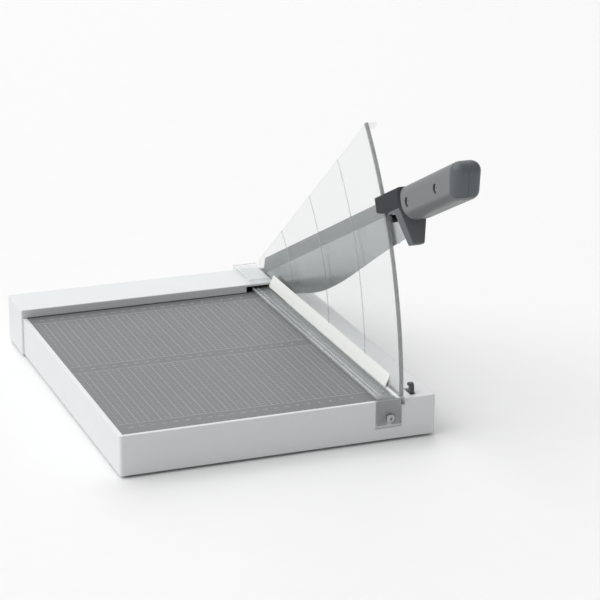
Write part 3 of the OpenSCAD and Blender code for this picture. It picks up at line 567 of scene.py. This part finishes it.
# The rounding of the arm's nodes: width in mm and segments
ARM_ROUNDING = {
    "arm_bar": (0.9, 4),
    "blade_rivets": (0.4, 3),
    "locking_stud": (0.3, 2),
    "guard_nut": (0.3, 2),
    "guard_bolt": (0.8, 3),
    "grip_screws": (0.45, 3),
    "grip_nuts": (0.45, 3),
}


def make_blade():
    """The blade with its bevel ground on the outer side, and a fine land along the edge."""
    low_x, high_x = blade_low.x, blade_high.x
    places = [arm_place(vert.co) for vert in NODES["moving_blade"].data.vertices
              if vert.co.x < low_x + 2 * TOUCH]
    edge = sorted({(round(r, 6), round(p, 6)) for r, p in places
                   if p < -EDGE_FROM * MM and r > (HUB + HUB_MARGIN) * MM})
    end = max(r for r, p in places)
    top = max(p for r, p in places if r > end - 1 * MM)
    turns = [math.radians(a) for a in range(90, 271, HUB_STEP)]
    hub = [(HUB * MM * math.cos(t), HUB * MM * math.sin(t)) for t in turns]

    def ring(x, lift):
        outline = [(end, top), (end / 2, top)] + hub + [(r, p + lift) for r, p in edge]
        return [arm_point(x, r, p) for r, p in outline]

    bevel = GROUND * MM
    rings = [ring(low_x, 0), ring(low_x + LAND, 0), ring(high_x - SHOULDER, bevel), ring(high_x, bevel)]
    piece = to_object(loft(rings), "cutting_blade")
    dress(piece, "arm", "blade_steel", "blade_steel", "moving_blade")
    piece.data.materials.append(MATERIALS["ground_steel"])
    for face in piece.data.polygons:
        if SLANTED[0] < abs(face.normal.x) < SLANTED[1]:
            face.material_index = 1


def make_arm():
    for node, (width, segments) in ARM_ROUNDING.items():
        soft_copy(node, width, segments)


# ------------------------------------------------------------------ grip and guard

# The grip's outline, in mm: r outwards from the pivot and p above the line through it
NOSE_R = 17.4
NOSE_P = 17.1
GRIP_TOP = 30
GRIP_DROP = 0.7
ROUND = 8.4
END_LEAN = math.radians(31)
CAP_LEAN = math.radians(22)
CAP_LEN = 11.4
CAP_FOOT = 2
CAP_CORNER = 5
BEYOND = 50                      # well past the grip's outside
SEAM = 0.3
SHARPEST = 0.05                  # smallest corner radius
NOSE_STEPS = 24
LOWER_STEPS = 10
UPPER_STEPS = 12
SIDE_STEPS = 8
SIDE_SHARE = 0.985               # the last ring is drawn in by this share of the rounding
SCREW_HEAD = 3.8 * MM            # radius of the grip screws' heads
POCKET_R = 4.2 * MM              # the pockets that the heads lie in
POCKET_DEPTH = 3.6 * MM
POCKET_SIDES = 48
POCKET_ABOVE = 3 * MM            # the cutter starts this far outside the grip

nose_end = min(arm_place(vert.co)[0] for vert in NODES["grip_left"].data.vertices) / MM
grip_end = max(arm_place(vert.co)[0] for vert in NODES["grip_cap"].data.vertices) / MM


def grip_ring(x, inset):
    """The grip's outline at x, drawn in by inset on every side."""
    centre = nose_end + NOSE_R
    low, high = ROUND - GRIP_DROP, GRIP_TOP - ROUND
    upper_r = grip_end - ROUND
    lower_r = upper_r - (high - low) * math.tan(END_LEAN)
    nose = NOSE_R - inset
    corner = max(SHARPEST, ROUND - inset)
    roof = GRIP_TOP - inset
    start = math.acos(max(-1, min(1, (roof - NOSE_P) / nose))) + math.pi / 2
    points = []
    for i in range(NOSE_STEPS + 1):
        t = start + (1.5 * math.pi - start) * i / NOSE_STEPS
        points.append((centre + nose * math.cos(t), NOSE_P + nose * math.sin(t)))
    for i in range(LOWER_STEPS + 1):
        t = -math.pi / 2 + (math.pi / 2 - END_LEAN) * i / LOWER_STEPS
        points.append((lower_r + corner * math.cos(t), low + corner * math.sin(t)))
    for i in range(UPPER_STEPS + 1):
        t = -END_LEAN + (math.pi / 2 + END_LEAN) * i / UPPER_STEPS
        points.append((upper_r + corner * math.cos(t), high + corner * math.sin(t)))
    return [arm_point(x, r * MM, p * MM) for r, p in points]


def half_grip(side, name):
    """One half of the whole grip, as a closed body. side is -1 on the left and 1 on the right."""
    outer = grip_left if side < 0 else grip_right
    rings = [grip_ring(grip_middle, SEAM), grip_ring(grip_middle + side * SEAM * MM, 0)]
    for i in range(SIDE_STEPS + 1):
        t = i / SIDE_STEPS * math.pi / 2
        x = outer - side * ROUND * MM * (1 - math.sin(t))
        rings.append(grip_ring(x, ROUND * (1 - math.cos(t)) * SIDE_SHARE))
    return to_object(loft(rings), name)


def cap_cutter(grow):
    """A prism over the part of the grip that the end cap takes, larger by grow."""
    foot = CAP_FOOT - NOSE_P
    outline = []
    for i in range(SIDE_STEPS + 1):
        t = math.pi + i / SIDE_STEPS * math.pi / 2
        outline.append((CAP_CORNER + (CAP_CORNER + grow) * math.cos(t),
                        foot + CAP_CORNER + (CAP_CORNER + grow) * math.sin(t)))
    outline += [(BEYOND, foot - grow), (BEYOND, BEYOND), (-grow, BEYOND)]
    rings = []
    for x in (grip_left - CAP_CORNER * MM, grip_right + CAP_CORNER * MM):
        ring = []
        for a, b in outline:
            r = grip_end - CAP_LEN + a * math.cos(CAP_LEAN) + b * math.sin(CAP_LEAN)
            p = NOSE_P - a * math.sin(CAP_LEAN) + b * math.cos(CAP_LEAN)
            ring.append(arm_point(x, r * MM, p * MM))
        rings.append(ring)
    return to_object(loft(rings), "cap_cutter")


def screw_places():
    """r and p of the two grip screws' middles."""
    low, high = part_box("grip_screws")
    return [arm_place(Vector((low.x, high.y - SCREW_HEAD, low.z + SCREW_HEAD))),
            arm_place(Vector((low.x, low.y + SCREW_HEAD, high.z - SCREW_HEAD)))]


def in_pocket(face):
    place = Vector(arm_place(face.center))
    return any((place - Vector(middle)).length < POCKET_R + TOUCH for middle in screw_places())


def make_grip():
    """Two shells whose screw pockets get the end cap's darker finish as painted shade in the recesses,
    and the end cap, cut from one rounded outline.
    """
    caps = []
    for side, name, node in ((-1, "grip_shell_left", "grip_left"), (1, "grip_shell_right", "grip_right")):
        outer = grip_left if side < 0 else grip_right
        shell = combined(half_grip(side, name), cap_cutter(SEAM / 2), "DIFFERENCE")
        pockets = bmesh.new()
        for r, p in screw_places():
            rod(pockets, arm_point(outer + side * POCKET_ABOVE, r, p),
                arm_point(outer - side * POCKET_DEPTH, r, p), POCKET_R, POCKET_SIDES)
        shell = combined(shell, to_object(pockets, "pockets"), "DIFFERENCE")
        dress(shell, "arm", "grip_plastic", "grip_plastic", node)
        shell.data.materials.append(MATERIALS["cap_plastic"])
        # painted shade: faces inside the screw pockets get the darker finish
        for face in shell.data.polygons:
            if in_pocket(face):
                face.material_index = 1
        caps.append(combined(half_grip(side, "cap_half"), cap_cutter(-SEAM / 2), "INTERSECT"))
    bm = bmesh.new()
    for cap in caps:
        bm.from_mesh(cap.data)
        bpy.data.objects.remove(cap)
    dress(to_object(bm, "end_cap"), "arm", "cap_plastic", "cap_plastic", "grip_cap")


FIN_DEPTH = 13 * MM              # of the finger guard's fin, along the arm
FIN_TOP = 8 * MM                 # its rounded edges lie below this height over the pivot line
FIN_ROUND = 0.8
SIDE_ROUND = 1.0


def make_guard():
    """The collar and the finger guard. The fin's sides get a lighter copy of the guard's finish as
    painted light, and its face a darker copy as painted shade under the grip.
    """
    fin_from = max(arm_place(v.co)[0] for v in NODES["hand_guard"].data.vertices) - FIN_DEPTH

    def on_fin(edge):
        r, p = arm_place((edge.verts[0].co + edge.verts[1].co) / 2)
        return p < FIN_TOP and r > fin_from and edge.calc_length() > 0.3 * MM

    def on_side(edge):
        return edge.calc_length() > 2 * MM and any(
            all(abs(vert.co.x - x) < TOUCH for vert in edge.verts)
            for x in (grip_left, grip_right))

    bm = softened("hand_guard", [(FIN_ROUND, 3, on_fin), (SIDE_ROUND, 3, on_side)])
    guard = dress(to_object(bm, "finger_guard"), "arm", "guard_plastic", "guard_plastic", "hand_guard")
    guard.data.materials.append(MATERIALS["guard_side_painted_light"])
    guard.data.materials.append(MATERIALS["guard_face"])
    # painted light and shade: fin faces that look sideways get the lighter copy, the others the darker
    # one
    for face in guard.data.polygons:
        if arm_place(face.center)[0] > fin_from:
            face.material_index = 1 if abs(face.normal.x) > 0.5 else 2


# ------------------------------------------------------------------ shield

SHIELD_T = 2.0                   # thickness of the shield, mm
SHIELD_ROUND = 0.25
SLOPE = math.radians(37.3)       # the shield's straight top edge
RISE = 26.6                      # its distance from the parallel line through the pivot, mm
RIB_RADII = (94, 184, 271)
RIB_HALF = 0.7                   # half a rib's width
RIB_PROUD = 0.5                  # how far it stands out
RIB_SINK = 0.1                   # how far it reaches into the plate
RIB_ROUND = 0.2
RIB_SHORT = 0.5                  # it ends this far from the top edge
RIB_STEPS = 40
RIM_LEFT = 0.8                   # how far the rim stands out on the left
RIM_RIGHT = 0.25                 # and on the right
RIM_WIDTH = 2.8
RIM_INSIDE = 0.02                # how far it stays inside the plate's edge
RIM_ROUND = 0.3
RIM_STEPS = 72

shield_x1 = clamp_high.x                           # the shield's side towards the blade
shield_x0 = shield_x1 - SHIELD_T * MM              # its other side
shield_foot = clamp_high.z - PIVOT.z               # height of its foot over the pivot
shield_reach = PIVOT.y - shield_low.y
rim_radius = shield_reach / math.cos(math.asin(shield_foot / shield_reach))


def shield_point(x, radius, angle):
    """A point of the shield, by its distance from the pivot and its angle above level."""
    return Vector((x, PIVOT.y - radius * math.cos(angle), PIVOT.z + radius * math.sin(angle)))


def arc_bar(bm, x0, x1, inner, outer, start, end, steps, corner):
    """Adds a curved bar round the pivot, with its section's corners cut."""
    section = [(x0 + corner, inner), (x1 - corner, inner), (x1, inner + corner),
               (x1, outer - corner), (x1 - corner, outer), (x0 + corner, outer),
               (x0, outer - corner), (x0, inner + corner)]
    rings = []
    for i in range(steps + 1):
        angle = start + (end - start) * i / steps
        rings.append([shield_point(x, radius, angle) for x, radius in section])
    loft(rings, bm)


def make_shield():
    """The clear plate, its curved ribs on the left side and the rim along its outer edge."""
    bm = softened("blade_shield", [(SHIELD_ROUND, 2, longer_than(1.2 * MM))])
    dress(to_object(bm, "shield_plate"), "clamp", "clear_plastic", "clear_plastic", "blade_shield")

    ribs = bmesh.new()
    for radius in RIB_RADII:
        mid = radius * MM
        end = SLOPE + math.asin(RISE / radius) - RIB_SHORT * MM / mid
        arc_bar(ribs, shield_x0 - RIB_PROUD * MM, shield_x0 + RIB_SINK * MM,
                mid - RIB_HALF * MM, mid + RIB_HALF * MM,
                math.asin(shield_foot / mid), end, RIB_STEPS, RIB_ROUND * MM)
    dress(to_object(ribs, "shield_ribs"), "clamp", "clear_plastic", "clear_rib")

    rim = bmesh.new()
    arc_bar(rim, shield_x0 - RIM_LEFT * MM, shield_x1 + RIM_RIGHT * MM,
            rim_radius - RIM_WIDTH * MM, rim_radius - RIM_INSIDE * MM,
            math.asin(shield_foot / rim_radius), SLOPE + math.asin(RISE * MM / rim_radius),
            RIM_STEPS, RIM_ROUND * MM)
    dress(to_object(rim, "shield_rim"), "clamp", "clear_plastic", "clear_edge")


# ------------------------------------------------------------------ clamp

# Roundings of the clear bar, in mm
BEND = 2.2
LOWER_CORNER = 2.0
BAR_ROUND = 0.25
# The ridges on the bar: place from its left side, width and height, in mm
RIDGES = ((0, 1.3, 1.0), (4.6, 0.9, 0.5))
RIDGE_FROM = 4                   # they start this far behind the bend
RIDGE_SINK = 0.3
RIDGE_ROUND = 0.25
# The strip down the bent front's left side, in mm
STRIP_WIDTH = 1.5
STRIP_PROUD = 0.7
STRIP_FOOT = 2
STRIP_HEAD = 2.2
# The raised border of the tab on the rail, in mm
TAB_OVER_RAIL = 1.9 + 0.15       # the clamp's travel and a clearance
TAB_T = 2
TAB_GAP = 2                      # between the border's right end and the shield
TAB_INSET = (0.2, 0.3)           # from the rail's front and from the tab's back
BORDER_WIDTH = 1.6
BORDER_PROUD = 0.7
BORDER_SINK = 0.2
BORDER_ROUND = 0.3
# The fine ridges along the cream profile's foot, in mm
FOOT_RIDGES = 3
FOOT_FIRST = 0.55
FOOT_PITCH = 0.75
FOOT_HEIGHT = 0.35
FOOT_PROUD = 0.18
FOOT_SINK = 0.3
FOOT_INSET = 0.2
FOOT_ROUND = 0.12


def make_clamp():
    """The clear bar, whose bent front below the board gets a darker, denser copy of the clear finish as
    painted shade.
    """
    def front_bend(edge):
        return all(vert.co.y < clamp_low.y + TOUCH and vert.co.z > clamp_high.z - TOUCH
                   for vert in edge.verts)

    def lower_corner(edge):
        first, second = (vert.co for vert in edge.verts)
        return abs(first.x - second.x) < TOUCH / 5 and max(first.z, second.z) < clamp_low.z + TOUCH

    rules = [(BEND, 6, front_bend), (LOWER_CORNER, 5, lower_corner),
             (BAR_ROUND, 2, longer_than(1.0 * MM))]
    bar = to_object(softened("clamp_bar", rules), "clear_clamp")
    dress(bar, "clamp", "clear_plastic", "clear_bar", "clamp_bar")
    bar.data.materials.append(MATERIALS["clear_front_painted_shade"])
    # painted shade: the faces of the bent front below the board get the darker copy
    for face in bar.data.polygons:
        if face.center.z < deck_high.z and face.center.y < base_low.y + 0.5 * MM:
            face.material_index = 1


def make_clamp_ridges():
    """The ridges along the clear bar, and the strip down its bent front."""
    bm = bmesh.new()
    top = clamp_high.z
    for place, width, height in RIDGES:
        x = clamp_low.x + place * MM
        rounded_box(bm, (x, clamp_low.y + RIDGE_FROM * MM, top - RIDGE_SINK * MM),
                    (x + width * MM, clamp_high.y, top + height * MM), RIDGE_ROUND * MM)
    rounded_box(bm, (clamp_low.x, clamp_low.y, clamp_low.z + STRIP_FOOT * MM),
                (clamp_low.x + STRIP_WIDTH * MM, clamp_low.y + STRIP_PROUD * MM, top - STRIP_HEAD * MM),
                RIDGE_ROUND * MM)
    dress(to_object(bm, "clamp_ridges"), "clamp", "clear_plastic", "clear_ridge")


def make_tab_border():
    """The raised border round the tab on the rail."""
    bm = bmesh.new()
    top = rail_high.z + (TAB_OVER_RAIL + TAB_T) * MM
    left, right = shield_low.x, shield_x1 - TAB_GAP * MM
    front, back = rail_low.y + TAB_INSET[0] * MM, shield_high.y - TAB_INSET[1] * MM
    width = BORDER_WIDTH * MM
    for low, high in (((left, front), (left + width, back)), ((left, back - width), (right, back)),
                      ((left, front), (right, front + width))):
        rounded_box(bm, (*low, top - BORDER_SINK * MM), (*high, top + BORDER_PROUD * MM),
                    BORDER_ROUND * MM)
    dress(to_object(bm, "tab_border"), "clamp", "clear_plastic", "clear_ridge")


def make_profile():
    """The cream profile, with fine ridges along its foot."""
    soft_copy("clamp_profile", 0.3, 2)
    bm = bmesh.new()
    for k in range(FOOT_RIDGES):
        low = profile_low.z + (FOOT_FIRST + FOOT_PITCH * k) * MM
        rounded_box(bm, (profile_low.x - FOOT_PROUD * MM, profile_low.y + FOOT_INSET * MM, low),
                    (profile_low.x + FOOT_SINK * MM, profile_high.y - FOOT_INSET * MM,
                     low + FOOT_HEIGHT * MM), FOOT_ROUND * MM, 1)
    dress(to_object(bm, "profile_ridges"), "clamp", "cream_plastic", "cream_plastic")


make_base()
make_blade()
make_arm()
make_grip()
make_guard()
make_shield()
make_clamp()
make_clamp_ridges()
make_tab_border()
make_profile()
soft_copy("latch_hook", 0.5, 3)

# ------------------------------------------------------------------ stage and light

FLOOR_HALF = 8                   # metres
WORLD_LIGHT = 0.37
KEY_FROM = (-0.62, 0.1, 0.75)
KEY_LIGHT = 1.9
BACK_FROM = (0.1, 0.8, 0.6)
BACK_LIGHT = 1.05
SOFTNESS = math.radians(60)      # how wide each distant light is


def make_floor():
    bm = bmesh.new()
    bmesh.ops.create_grid(bm, x_segments=1, y_segments=1, size=FLOOR_HALF)
    floor = to_object(bm, "floor")
    floor.data.materials.append(surface("floor_pale", (0.9, 0.9, 0.9), 0.6, mottle=0.01, grain=0.02))


def soft_sun(name, towards, strength):
    """A distant soft light that shines from the given side."""
    data = bpy.data.lights.new(name, "SUN")
    data.energy = strength
    data.angle = SOFTNESS
    lamp = bpy.data.objects.new(name, data)
    lamp.rotation_euler = Vector(towards).to_track_quat("Z", "Y").to_euler()
    bpy.context.scene.collection.objects.link(lamp)


def make_world(strength):
    world = bpy.data.worlds.new("studio")
    world.use_nodes = True
    world.node_tree.nodes["Background"].inputs["Color"].default_value = (1, 1, 1, 1)
    world.node_tree.nodes["Background"].inputs["Strength"].default_value = strength
    bpy.context.scene.world = world


make_floor()
make_world(WORLD_LIGHT)
soft_sun("key", KEY_FROM, KEY_LIGHT)
soft_sun("back", BACK_FROM, BACK_LIGHT)
bpy.context.scene.view_settings.view_transform = "Standard"
